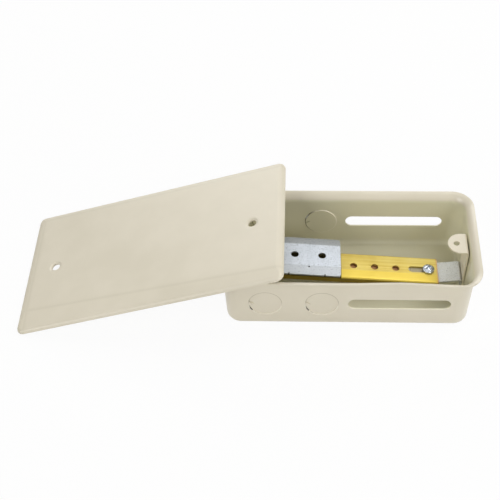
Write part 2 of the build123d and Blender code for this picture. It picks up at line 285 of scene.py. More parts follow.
@dataclass(frozen=True)
class PunchedCoat(PowderCoat):
    """The same coat on the punched and drawn box.

    Inside the box the coat is tinted olive, which is painted shade. Round each knockout, where
    the punch sheared the sheet, a dark line above is painted shade, a pale edge below a painted
    highlight, and a black mark beside the tie painted shade in the crevice.

    Attributes:
        pitch_mm: Distance between the two knockouts of a side.
        middle_mm: Place half way between them, in x and z.
        ring_mm: Radius of the knockouts and half width of the line.
        reach_mm: Half of the length that has knockouts.
        inner_shade: Tone of the painted shade of the line inside the box, at its left.
        highlight_turn: Heights where the line turns to painted highlight, in radii of the ring.
        inner_shade_turn: Places where it turns to painted shade inside the box, in the same unit.
        nick_at: Place of the nick in x and z, and its radius, in the same unit.
        ring_share: How much the line hides the coat.
    """

    name: str = "powder_coat_punched"
    flow_share: float = 0.35
    # Olive tint inside the box: painted shade.
    inside: str = "#DDD9BD"
    pitch_mm: float = 38.4
    middle_mm: tuple[float, float] = (-36.6, 22.2)
    ring_mm: tuple[float, float] = (11.2, 0.3)
    reach_mm: float = 32.0
    # The ring's dark line is painted shade, its pale edge a painted highlight, and the black nick
    # and the dark line inside at the left are painted shade.
    shadow: str = "#B7AD94"
    edge: str = "#F4EEDF"
    nick: str = "#2A2419"
    inner_shade: str = "#5E543A"
    highlight_turn: tuple[float, float] = (0.2, -0.3)
    inner_shade_turn: tuple[float, float] = (-0.35, -0.7)
    nick_at: tuple[float, float, float] = (-0.86, -0.5, 0.14)
    ring_share: float = 0.8

    def marked(self, add: Adder, place: Socket, colour: Socket) -> Socket:
        """Adds the olive inside and the sheared rings to the coat's colour.

        Args:
            add: Adds a node to the material's tree.
            place: Object coordinates.
            colour: The coat's colour.

        Returns:
            The marked colour.
        """
        # Inside the box, painted shade: the coat turns olive.
        inside = add("Attribute", {"attribute_name": "inside"})["Fac"]
        olive = {"data_type": "RGBA", OVER: linear(self.inside)}
        colour = add("Mix", olive, {SHARE: inside, UNDER: colour})[MIXED]
        axes = add("SeparateXYZ", links={"Vector": place})
        middle, z = (
            add("Math", {"operation": "SUBTRACT", 1: start * MM}, {0: axes[axis]})[0]
            for axis, start in zip("XZ", self.middle_mm)
        )
        pitch = self.pitch_mm * MM
        turn = add("Math", {"operation": "FLOORED_MODULO", 1: pitch}, {0: middle})[0]
        x = add("Math", {"operation": "SUBTRACT", 1: pitch / 2}, {0: turn})[0]
        flat = add("CombineXYZ", links={"X": x, "Y": z})["Vector"]
        apart = add("VectorMath", {"operation": "LENGTH"}, {0: flat})["Value"]
        radius, half = (size * MM for size in self.ring_mm)
        line, length = (
            add("Math", {"operation": "COMPARE", 1: aim, 2: slack}, {0: size})[0]
            for size, aim, slack in ((apart, radius, half), (middle, 0.0, self.reach_mm * MM))
        )
        ring = add("Math", {"operation": "MULTIPLY"}, {0: line, 1: length})[0]
        # Painted shade above turns to painted highlight below; inside the box the painted highlight
        # turns to painted shade at the left.
        tones = []
        for side, turns, first, last in (
            (z, self.highlight_turn, self.shadow, self.edge),
            (x, self.inner_shade_turn, self.edge, self.inner_shade),
        ):
            span = {name: at * radius for name, at in zip(RANGE, turns)}
            way = add("MapRange", span, {"Value": side})["Result"]
            ends = {"data_type": "RGBA", UNDER: linear(first), OVER: linear(last)}
            tones.append(add("Mix", ends, {SHARE: way})[MIXED])
        both = {SHARE: inside, UNDER: tones[0], OVER: tones[1]}
        tone = add("Mix", {"data_type": "RGBA"}, both)[MIXED]
        # Painted shade in the crevice of the nick beside the tie.
        across, up, size = (share * radius for share in self.nick_at)
        spot = {"operation": "DISTANCE", 1: (across, up, 0.0)}
        nick = add("VectorMath", spot, {0: flat})["Value"]
        close = add("Math", {"operation": "LESS_THAN", 1: size}, {0: nick})[0]
        black = {"data_type": "RGBA", OVER: linear(self.nick)}
        tone = add("Mix", black, {SHARE: close, UNDER: tone})[MIXED]
        share = add("Math", {"operation": "MULTIPLY", 1: self.ring_share}, {0: ring})[0]
        drawn = {SHARE: share, UNDER: colour, OVER: tone}
        return add("Mix", {"data_type": "RGBA"}, drawn)[MIXED]


@dataclass(frozen=True)
class PressedCoat(PowderCoat):
    """The same coat on the pressed cover.

    The pressed lines and the rolled left end are darker: painted shade.

    Attributes:
        crease_shade_share: How much the painted shade hides the coat.
    """

    name: str = "powder_coat_pressed"
    # Tone of the painted shade on the pressed lines and the left end.
    dull: str = "#C4BCA4"
    crease_shade_share: float = 0.55

    def marked(self, add: Adder, place: Socket, colour: Socket) -> Socket:
        """Adds the painted shade that the attribute crease marks to the coat's colour.

        Args:
            add: Adds a node to the material's tree.
            place: Object coordinates, not used.
            colour: The coat's colour.

        Returns:
            The marked colour.
        """
        crease = add("Attribute", {"attribute_name": "crease"})["Fac"]
        weaken = {"operation": "MULTIPLY", 1: self.crease_shade_share}
        share = add("Math", weaken, {0: crease})[0]
        dull = {"data_type": "RGBA", OVER: linear(self.dull)}
        return add("Mix", dull, {SHARE: share, UNDER: colour})[MIXED]


@dataclass(frozen=True)
class GalvanisedSheet(Finish):
    """Hot dip galvanised sheet: zinc dulled to an even bluish grey, with fine specks.

    The spangle of such a rolled sheet is a fraction of a millimetre. Spangle and specks are
    drawn about a millimetre wide, coarser than real, because finer ones don't show.

    Attributes:
        haze_share: How much soft clouds even the crystals out.
        speck_range: Noise of the specks between which they fade out.
        speck_strength: How much they hide the zinc.
        wing_mm: Middle line of the sheet and distance from it beyond which its sides lie.
        wing_shade_share: How much the painted shade on the sides hides the zinc.
        under_bar_shade_mm: Places in x at which the painted shade under the bar starts and is full.
        under_bar_shade_share: How much it hides the zinc.
    """

    name: str = "galvanised_sheet"
    bright: str = "#BFC4CA"
    mid: str = "#B2B7BD"
    dark: str = "#9EA3A8"
    haze_share: float = 0.6
    cloud_mm: float = 7.0
    spangle_mm: float = 0.9
    speck: str = "#70757A"
    speck_mm: float = 0.8
    speck_range: tuple[float, float] = (0.33, 0.41)
    speck_strength: float = 0.85
    metallic: float = 0.75
    roughness: tuple[float, float] = (0.4, 0.55)
    gloss_range: tuple[float, float] = (0.0, 1.0)
    relief_mm: float = 0.008
    # Painted shade on the sloping sides of the sheet.
    wing_shade: str = "#8B8D8D"
    wing_mm: tuple[float, float] = (-0.4, 1000.0)
    wing_shade_share: float = 0.6
    # Painted shade where the sheet runs under the bar.
    under_bar_shade: str = "#8A7C58"
    under_bar_shade_mm: tuple[float, float] = (-1000.0, -1001.0)
    under_bar_shade_share: float = 0.8

    def patterns(self, add: Adder, place: Socket) -> Patterns:
        """Fine crystals under soft clouds, specks, and painted shade on sides and under the bar.

        Args:
            add: Adds a node to the material's tree.
            place: Object coordinates.

        Returns:
            The colour, the pattern of the gloss and that of the relief.
        """
        cells = {"Scale": per_metre(self.spangle_mm)}
        crystals = add("TexVoronoi", cells, {"Vector": place})["Color"]
        shade = add("SeparateColor", links={"Color": crystals})["Red"]
        clouds, dust = (
            add("TexNoise", {"Scale": per_metre(size), **kind}, {"Vector": place})["Fac"]
            for size, kind in (
                (self.cloud_mm, {"Detail": 4.0, "Roughness": 0.6}),
                (self.speck_mm, {"Detail": 2.0}),
            )
        )
        grains = [(0.0, self.dark), (0.4, self.mid), (1.0, self.bright)]
        hazes = list(zip(NOISE, (self.mid, self.bright)))
        grain, haze = (
            add("ValToRGB", {"stops": stops}, {"Fac": pattern})["Color"]
            for stops, pattern in ((grains, shade), (hazes, clouds))
        )
        even = {"data_type": "RGBA", SHARE: self.haze_share}
        colour = add("Mix", even, {UNDER: grain, OVER: haze})[MIXED]
        axes = add("SeparateXYZ", links={"Vector": place})
        middle, bend = (size * MM for size in self.wing_mm)
        top = {"operation": "COMPARE", 1: middle, 2: bend}
        flat = add("Math", top, {0: axes["Y"]})[0]
        under_bar_reach = (size * MM for size in self.under_bar_shade_mm)
        # After the specks, painted shade on the sides and painted shade under the bar.
        for source, span, tone in (
            (dust, (*self.speck_range, self.speck_strength, 0.0), self.speck),
            (flat, (0.0, 1.0, self.wing_shade_share, 0.0), self.wing_shade),
            (axes["X"], (*under_bar_reach, 0.0, self.under_bar_shade_share), self.under_bar_shade),
        ):
            share = add("MapRange", dict(zip(RANGE, span)), {"Value": source})["Result"]
            over = {"data_type": "RGBA", OVER: linear(tone)}
            colour = add("Mix", over, {SHARE: share, UNDER: colour})[MIXED]
        return colour, shade, clouds


@dataclass(frozen=True)
class YellowZinc(Finish):
    """Yellow passivated zinc on rolled strip: a straw film with lengthwise drawing lines.

    A painted highlight makes the film lemon yellow over the front third of the top. It is
    rosy where it gathered at the cut end, and painted shade makes it olive down the folded
    sides. The real lines are hair fine and are drawn coarser, about a millimetre apart, so that
    they show.

    Attributes:
        haze_share: How much soft clouds even the lines out.
        streak_mm: Size of the lines along, across and down the bar.
        slope: Tilt of the bar along its length, in radians.
        top_m: Height of the bar's top plane where x is 0, in metres.
        highlight_band_mm: Where the painted highlight starts across the bar, and the blur of its
            edge.
        highlight_share: How much it hides the film, as the shares below do.
        end_mm: Place along the bar where the rosy end starts, and the blur of its edge.
        rose_share: Its share.
        under_plate_shade: Tone of the painted shade on the bar under the plate above.
        clamped_mm: Place along the bar to the left of which that plate lies.
        under_plate_shade_share: Its share.
        side_shade_mm: Depth below the top at which the sides' painted shade starts and is full.
        fold_mm: Middle line of the bar and distance from it beyond which its sides lie.
    """

    name: str = "yellow_passivated_zinc"
    gold: str = "#D0B95C"
    pale: str = "#D9C878"
    deep: str = "#BB9F45"
    haze_share: float = 0.35
    cloud_mm: float = 14.0
    streak_mm: tuple[float, float, float] = (55.0, 0.8, 0.8)
    relief_mm: float = 0.01
    metallic: float = 0.55
    roughness: tuple[float, float] = (0.36, 0.5)
    slope: float = 0.0
    top_m: float = 0.0
    # Painted highlight over the front third of the top.
    band: str = "#DFC44A"
    highlight_band_mm: tuple[float, float] = (-4.7, 0.5)
    highlight_share: float = 0.68
    rose: str = "#CB9A72"
    end_mm: tuple[float, float] = (62.0, 0.8)
    rose_share: float = 0.8
    # Painted shade on the bar under the plate.
    under_plate_shade: str = "#261F0F"
    clamped_mm: float = -5.3
    under_plate_shade_share: float = 0.93
    # Painted shade down the folded sides.
    side: str = "#84701E"
    side_shade_mm: tuple[float, float] = (0.7, 1.6)
    fold_mm: tuple[float, float] = (-0.4, 10.4)

    def patterns(self, add: Adder, place: Socket) -> Patterns:
        """Streaks along the bar, then a painted highlight in front, the rosy end, and painted shade
        under the plate and down the sides.

        Args:
            add: Adds a node to the material's tree.
            place: Object coordinates.

        Returns:
            The colour, the pattern of the gloss and that of the relief.
        """
        tilt = {"Rotation": (0.0, -self.slope, 0.0)}
        level = add("Mapping", tilt, {"Vector": place})["Vector"]
        stretch = {"Scale": tuple(per_metre(size) for size in self.streak_mm)}
        drawn = add("Mapping", stretch, {"Vector": level})["Vector"]
        streaks, clouds = (
            add("TexNoise", {"Scale": scale, "Detail": 3.0}, {"Vector": source})["Fac"]
            for scale, source in ((1.0, drawn), (per_metre(self.cloud_mm), place))
        )
        tones = (self.deep, self.gold, self.pale)
        film, haze = (
            add("ValToRGB", {"stops": list(zip(places, tones))}, {"Fac": pattern})["Color"]
            for pattern, places in ((streaks, (0.3, 0.45, 0.7)), (clouds, (0.35, 0.5, 0.7)))
        )
        even = {"data_type": "RGBA", SHARE: self.haze_share}
        colour = add("Mix", even, {UNDER: film, OVER: haze})[MIXED]
        axes = add("SeparateXYZ", links={"Vector": level})
        band, band_blur = self.highlight_band_mm
        end, end_blur = self.end_mm
        start, full = (self.top_m / MM - depth for depth in self.side_shade_mm)
        # The front band is a painted highlight; the dark film under the plate and the olive sides
        # are painted shade.
        for axis, first, last, tone, share in (
            ("Y", band + band_blur, band, self.band, self.highlight_share),
            ("X", end, end + end_blur, self.rose, self.rose_share),
            ("X", self.clamped_mm + end_blur, self.clamped_mm, self.under_plate_shade, self.under_plate_shade_share),
            ("Z", start, full, self.side, 1.0),
        ):
            fade = dict(zip(RANGE, (first * MM, last * MM, 0.0, share)))
            fade["interpolation_type"] = "SMOOTHSTEP"
            reach = add("MapRange", fade, {"Value": axes[axis]})["Result"]
            if axis == "Z":
                middle, bend = (size * MM for size in self.fold_mm)
                top = {"operation": "COMPARE", 1: middle, 2: bend}
                flat = add("Math", top, {0: axes["Y"]})[0]
                less = {"operation": "SUBTRACT"}
                reach = add("Math", less, {0: reach, 1: flat})[0]
                reach = add("Clamp", links={"Value": reach})[0]
            over = {"data_type": "RGBA", OVER: linear(tone)}
            colour = add("Mix", over, {SHARE: reach, UNDER: colour})[MIXED]
        return colour, streaks, streaks


@dataclass(frozen=True)
class BrightPlate(Finish):
    """Bright zinc plate on small turned or pressed parts: clean bluish metal, softly scratched.

    Real scratches are hair fine. Their wear is drawn about a millimetre wide, so that it shows.

    Attributes:
        tone_range: Noise of the wear at which the dull and the light tone are full.
    """

    name: str = "bright_zinc_plate"
    light: str = "#C9D0D8"
    dull: str = "#A2A8B0"
    tone_range: tuple[float, float] = (0.35, 0.6)
    wear_mm: float = 1.2
    gloss_range: tuple[float, float] = (0.35, 0.65)
    metallic: float = 1.0
    roughness: tuple[float, float] = (0.18, 0.34)

    def patterns(self, add: Adder, place: Socket) -> Patterns:
        """Soft wear that changes tone and gloss.

        Args:
            add: Adds a node to the material's tree.
            place: Object coordinates.

        Returns:
            The colour, the pattern of the gloss and that of the relief.
        """
        lumps = {"Scale": per_metre(self.wear_mm), "Detail": 4.0}
        wear = add("TexNoise", lumps, {"Vector": place})["Fac"]
        stops = list(zip(self.tone_range, (self.dull, self.light)))
        colour = add("ValToRGB", {"stops": stops}, {"Fac": wear})["Color"]
        return colour, wear, wear


def smooth(mesh: bpy.types.Mesh, crease_deg: float) -> None:
    """Shades a mesh smoothly, apart from edges between faces that turn by more than crease_deg."""
    mesh.shade_smooth()
    mesh.set_sharp_from_angle(angle=math.radians(crease_deg))


def merged_copy(node: str, crease_deg: float) -> bpy.types.Object:
    """Copy of a CAD node with its triangles joined, so that its curved faces shade smoothly.

    Args:
        node: Name of the CAD node.
        crease_deg: Turn between two faces above which their edge stays sharp.

    Returns:
        The new object, which stands for the node.
    """
    mesh = frame["nodes"][node].data.copy()
    mesh.materials.clear()
    work = bmesh.new()
    work.from_mesh(mesh)
    bmesh.ops.remove_doubles(work, verts=work.verts, dist=MERGE_MM * MM)
    bmesh.ops.dissolve_degenerate(work, edges=work.edges, dist=SLIVER_MM * MM)
    work.to_mesh(mesh)
    work.free()
    if "custom_normal" in mesh.attributes:
        mesh.attributes.remove(mesh.attributes["custom_normal"])
    smooth(mesh, crease_deg)
    return in_scene(f"{node}_dressed", mesh)


def cut_across(mesh: bpy.types.Mesh, start: Vector, axis: Vector, places_mm: np.ndarray) -> None:
    """Cuts a closed mesh along parallel planes, so that it can be bent between them.

    Args:
        mesh: Mesh that is cut.
        start: Point from which the places count, in metres.
        axis: Direction square to the planes.
        places_mm: Distances of the planes from the point.
    """
    work = bmesh.new()
    work.from_mesh(mesh)
    for place in places_mm:
        bmesh.ops.bisect_plane(
            work,
            geom=work.verts[:] + work.edges[:] + work.faces[:],
            dist=TOUCH_MM * MM,
            plane_co=start + axis * float(place) * MM,
            plane_no=axis,
        )
    bmesh.ops.triangulate(work, faces=work.faces[:])
    work.to_mesh(mesh)
    work.free()


def vertex_rows(mesh: bpy.types.Mesh, name: str) -> np.ndarray:
    """Reads the vectors of a mesh's vertices.

    Args:
        mesh: Mesh that is read.
        name: Name of the vector, "co" or "normal".

    Returns:
        One row of three numbers for each vertex.
    """
    rows = np.empty(len(mesh.vertices) * 3)
    mesh.vertices.foreach_get(name, rows)
    return rows.reshape(-1, 3)


def write_back(mesh: bpy.types.Mesh, points: np.ndarray, mark: str, shares: np.ndarray) -> None:
    """Moves the vertices of a mesh and marks them for its coat.

    Args:
        mesh: Mesh that is changed.
        points: New place of each vertex, in metres.
        mark: Name of the attribute that the coat reads.
        shares: Its value at each vertex.
    """
    marks = mesh.attributes.new(mark, "FLOAT", "POINT")
    marks.data.foreach_set("value", shares.astype(np.float32))
    mesh.vertices.foreach_set("co", points.ravel())
    mesh.update()


def eased(share: np.ndarray) -> np.ndarray:
    """Smooth step: 3 times the square less 2 times the cube of a share held from 0 to 1."""
    share = np.clip(share, 0.0, 1.0)
    return share * share * (3.0 - 2.0 * share)


def place_piece(
    piece: bpy.types.Object, material: bpy.types.Material, node: str = ""
) -> None:
    """Gives a piece its finish, puts it in the frame and reports it.

    Args:
        piece: Finished object at the origin.
        material: Its finish.
        node: CAD node that it stands for, if any.
    """
    piece.data.materials.append(material)
    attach(piece, "root")
    if node:
        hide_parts(node)
    LOG.info("%s: %d faces for %s", piece.name, len(piece.data.polygons), node or "the looks")


@dataclass
class DressedNode:
    """A CAD node whose form is right: a smooth copy of it gets softened edges and a finish.

    Attributes:
        node: Name of the CAD node.
        slot: Material slot of the record, not used.
        edge_mm: Width of the softened edges, none at 0.
        crease_deg: Turn between two faces above which their edge stays sharp.
    """

    node: str
    slot: Slot
    edge_mm: float = 0.0
    crease_deg: float = 28.0

    def shape(self) -> bpy.types.Object:
        """The smooth copy of the node."""
        return merged_copy(self.node, self.crease_deg)

    def build(self, material: bpy.types.Material) -> None:
        """Makes the piece, softens its edges and puts it in the frame.

        Args:
            material: Finish of the piece.
        """
        piece = self.shape()
        if self.edge_mm:
            soften = piece.modifiers.new("softened_edges", "BEVEL")
            soften.width = self.edge_mm * MM
            soften.segments = SOFT_ROUNDS
            soften.limit_method = "ANGLE"
            soften.angle_limit = math.radians(SOFT_TURN_DEG)
            soften.harden_normals = True
        place_piece(piece, material, self.node)


@dataclass
class BoxBody(DressedNode):
    """The drawn box: its front rim is not quite straight, and its inside is marked for the coat.

    Attributes:
        rim_mm: Places along the front rim, and how far it lies above its CAD height at each.
        front_mm: Places across the box between which that fades in, from the back to the front.
        height_mm: Heights between which it fades in.
        cuts_mm: First cut, end and step of the cuts along the box and up the box.
        middle_mm: Height of the point that the inner faces look towards.
        straight_mm: Half lengths of the straight walls, in x and y.
        coat_mm: Heights between which the inside gets the olive tint, painted shade.
    """

    rim_mm: tuple[tuple[float, ...], ...] = (
        (-95.0, -40.0, -5.0, 36.0, 50.0, 64.0, 82.0, 95.0),
        (0.0, 0.1, -0.3, 0.8, 0.0, -0.8, -1.8, -1.6),
    )
    front_mm: tuple[float, float] = (-20.0, -41.0)
    height_mm: tuple[float, float] = (26.0, 42.0)
    cuts_mm: tuple[tuple[float, ...], ...] = ((-78.0, 79.0, 6.0), (28.0, 42.0, 4.0))
    middle_mm: float = 25.0
    straight_mm: tuple[float, float] = (70.0, 30.0)
    coat_mm: tuple[float, float] = (0.5, 43.0)

    def shape(self) -> bpy.types.Object:
        """The copy of the box with its bent rim and the attribute "inside".

        Between two places of the rim the height goes along a smooth step. A point is inside
        where its normal looks to the middle line of the box.

        Returns:
            The bent copy.
        """
        piece = super().shape()
        mesh = piece.data
        for axis, steps in zip(((1.0, 0.0, 0.0), (0.0, 0.0, 1.0)), self.cuts_mm):
            cut_across(mesh, Vector((0.0, 0.0, 0.0)), Vector(axis), np.arange(*steps))
        points = vertex_rows(mesh, "co")
        inwards = -points
        for axis, straight in enumerate(self.straight_mm):
            inwards[np.abs(points[:, axis]) < straight * MM, axis] = 0.0
        inwards[:, 2] = self.middle_mm * MM
        low, high = (height * MM for height in self.coat_mm)
        inside = (vertex_rows(mesh, "normal") * inwards).sum(axis=1) > 0.0
        inside &= (points[:, 2] > low) & (points[:, 2] < high)
        places, heights = np.array(self.rim_mm) * MM
        last = np.clip(np.searchsorted(places, points[:, 0]) - 1, 0, len(places) - 2)
        way = eased((points[:, 0] - places[last]) / (places[last + 1] - places[last]))
        lift = heights[last] + (heights[last + 1] - heights[last]) * way
        for axis, (start, full) in ((1, self.front_mm), (2, self.height_mm)):
            lift *= eased((points[:, axis] / MM - start) / (full - start))
        points[:, 2] += lift
        write_back(mesh, points, "inside", inside)
        smooth(mesh, self.crease_deg)
        return piece


@dataclass
class CoverPlate(DressedNode):
    """The cover: its pressed top is not flat but stands slightly proud inside its borders.

    Attributes:
        lip_mm: Depth of its rolled edge.
        hole_rise_mm: Height of the middle of the sheet at the screw holes.
        crown_mm: How far the middle stands above the borders.
        left_mm: Width of the sloping border at the left end.
        right_mm: The same at the right end.
        back_mm: The same along the back.
        front_mm: The same along the front, at the left and at the right end.
        dish_mm: Radius and depth of the soft dish round each screw hole.
        burr_mm: Radius within which the sheet is drawn back from a hole, the width over which
            that fades, and how far the hole's edge goes back.
        groove_mm: Width and depth of the faint groove that the press leaves along the borders.
        groove_shade: Share of painted shade in the groove, against 1 at the left end.
        fine_mm: Spacing of the cuts along borders and round holes.
        coarse_mm: Spacing of the cuts elsewhere.
        fine_ends_mm: Widths that have the fine cuts, at the left and at the right end.
        fine_sides_mm: The same along the front and along the back.
    """

    length_mm: float = 194.4
    width_mm: float = 110.4
    lip_mm: float = 3.2
    hole_rise_mm: float = 2.15
    crown_mm: float = 0.95
    left_mm: float = 6.0
    right_mm: float = 4.5
    back_mm: float = 5.0
    front_mm: tuple[float, float] = (18.0, 10.0)
    dish_mm: tuple[float, float] = (6.2, 0.25)
    burr_mm: tuple[float, float, float] = (3.7, 0.95, 0.3)
    groove_mm: tuple[float, float] = (1.1, 0.07)
    groove_shade: float = 0.45
    fine_mm: float = 1.0
    coarse_mm: float = 5.0
    fine_ends_mm: tuple[float, float] = (8.0, 6.0)
    fine_sides_mm: tuple[float, float] = (19.0, 7.0)

    def cuts(self, low: float, high: float, fine: list[tuple[float, float]]) -> np.ndarray:
        """Places of the cuts along one side of the cover.

        Every coarse step from low to high is one, and every fine step within the fine ranges.

        Args:
            low: First place, in millimetres.
            high: Last place.
            fine: Ranges with fine steps.

        Returns:
            The places in rising order.
        """
        steps = [np.arange(low, high, self.coarse_mm)]
        steps += [np.arange(start, end, self.fine_mm) for start, end in fine]
        return np.unique(np.round(np.concatenate(steps), 1))

    def grooved(self, along: np.ndarray, across: np.ndarray) -> np.ndarray:
        """Share of the groove's depth, a bell curve round the inner lines of three borders.

        Args:
            along: Distances from the left end.
            across: Distances from the middle line, positive to the back.

        Returns:
            One share from 0 to 1 for each point.
        """
        front = np.interp(along, (0.0, self.length_mm), self.front_mm)
        within = np.minimum.reduce(
            [
                np.abs(along - self.left_mm),
                np.abs(self.width_mm / 2 - across - self.back_mm),
                np.abs(self.width_mm / 2 + across - front),
            ]
        )
        return np.exp(-((within / self.groove_mm[0]) ** 2))

    def pressed(self, along: np.ndarray, across: np.ndarray, holes: np.ndarray) -> np.ndarray:
        """Height that the press gives the sheet, in millimetres.

        The crown rises with the least of the four distances to the edges, each in units of its
        border's width, up to 1, and half of it is taken off all round. Along the borders a
        groove is taken off, a bell curve of the distance from their inner lines. At each hole a
        dish is, deep times the smooth step of 1 less the distance in units of its radius.

        Args:
            along: Distances from the left end.
            across: Distances from the middle line, positive to the back.
            holes: Distances of the holes from the left end.

        Returns:
            One height for each point.
        """
        front = np.interp(along, (0.0, self.length_mm), self.front_mm)
        inside = np.minimum.reduce(
            [
                along / self.left_mm,
                (self.length_mm - along) / self.right_mm,
                (self.width_mm / 2 - across) / self.back_mm,
                (self.width_mm / 2 + across) / front,
            ]
        )
        height = self.crown_mm * (np.clip(inside, 0.0, 1.0) - 0.5)
        height -= self.groove_mm[1] * self.grooved(along, across)
        for hole in holes:
            apart = np.hypot(along - hole, across)
            height -= self.dish_mm[1] * eased(1.0 - apart / self.dish_mm[0])
        return height

    def shape(self) -> bpy.types.Object:
        """The copy of the cover, cut into a grid along its own axes and pressed.

        Each point's distances along, across and above the cover give its height. Round a hole
        it also moves out from the axis, by the burr times a share that fades with the distance.

        Returns:
            The pressed copy.
        """
        piece = super().shape()
        mesh = piece.data
        mounts = {mount["name"]: mount for mount in frame["record"]["mounts"]}
        left, right = (Vector(mounts[f"cover_hole_{side}"]["pos_m"]) for side in ("left", "right"))
        up = Vector(mounts["cover_hole_left"]["axis"]).normalized()
        run = (right - left).normalized()
        deep = up.cross(run)
        start = (left + right) / 2 - (run * self.length_mm / 2 + up * self.hole_rise_mm) * MM
        holes = np.array([(hole - start).dot(run) / MM for hole in (left, right)])
        half, reach = self.width_mm / 2, self.dish_mm[0] + self.fine_mm
        ends = [(self.fine_mm, self.fine_ends_mm[0])]
        ends += [(self.length_mm - self.fine_ends_mm[1], self.length_mm)]
        ends += [(hole - reach, hole + reach) for hole in holes]
        sides = [(self.fine_mm - half, self.fine_sides_mm[0] - half)]
        sides += [(-reach, reach), (half - self.fine_sides_mm[1], half)]
        cut_across(mesh, start, run, self.cuts(self.coarse_mm, self.length_mm, ends))
        cut_across(mesh, start, deep, self.cuts(self.coarse_mm - half, half, sides))
        points = vertex_rows(mesh, "co")
        own = (points - np.array(start)) @ np.array([run, deep, up]).T / MM
        radius, blur, back = self.burr_mm
        for hole in holes:
            way = own[:, :2] - (hole, 0.0)
            apart = np.hypot(way[:, 0], way[:, 1])
            near = np.clip((radius - apart) / blur, 0.0, 1.0)
            shift = (back * near / np.maximum(apart, TOUCH_MM))[:, None] * way * MM
            points += shift @ np.array([run, deep])
        lift = self.pressed(own[:, 0], own[:, 1], holes)
        lift *= np.clip(own[:, 2] / self.lip_mm, 0.0, 1.0)
        points += lift[:, None] * MM * np.array(up)
        # Painted shade in the grooves and along the sloping left end, read by the coat.
        crease = self.groove_shade * self.grooved(own[:, 0], own[:, 1])
        crease = np.maximum(crease, np.clip(1.0 - own[:, 0] / self.left_mm, 0.0, 1.0))
        write_back(mesh, points, "crease", crease)
        smooth(mesh, self.crease_deg)
        return piece


@dataclass
class BarFrame:
    """Axes of the slotted bar, whose top face carries the screws.

    Attributes:
        right_mm: Right end of the top face in x.
        offset_mm: Middle line of the bar in y.
        top_mm: Height of the right end of the top face.
        slope_deg: Rise of the bar towards its left end.
    """

    right_mm: float = 64.36
    offset_mm: float = -0.4
    top_mm: float = 13.33
    slope_deg: float = 4.4

    @property
    def slope(self) -> float:
        """Slope in radians."""
        return math.radians(self.slope_deg)

    @property
    def top_m(self) -> float:
        """Height of the top plane above the slope through the origin, in metres."""
        return (self.right_mm * math.sin(self.slope) + self.top_mm * math.cos(self.slope)) * MM

    def place(self, own: np.ndarray, along: float, rise: float = 0.0) -> np.ndarray:
        """Moves points from a place on the bar into the frame.

        Args:
            own: Points in millimetres, x to the right along the bar, z square to its top.
            along: Distance of that place from the bar's right end.
            rise: Height of that place above the top face.

        Returns:
            The points in metres.
        """
        cos, sin = math.cos(self.slope), math.sin(self.slope)
        ahead, up = np.array([cos, 0.0, -sin]), np.array([sin, 0.0, cos])
        middle = np.array([self.right_mm, self.offset_mm, self.top_mm])
        middle = middle - along * ahead + rise * up
        return (middle + own @ np.array([ahead, [0.0, 1.0, 0.0], up])) * MM


def new_piece(name: str, points: np.ndarray, faces: list[list[int]]) -> bpy.types.Object:
    """An object from computed points and faces, smooth apart from its creases.

    Args:
        name: Name of the object.
        points: One row for each point, in metres.
        faces: Rows of point numbers, running anticlockwise seen from outside.

    Returns:
        The new object.
    """
    mesh = bpy.data.meshes.new(name)
    mesh.from_pydata(points.tolist(), [], faces)
    smooth(mesh, COMPUTED_CREASE_DEG)
    return in_scene(name, mesh)


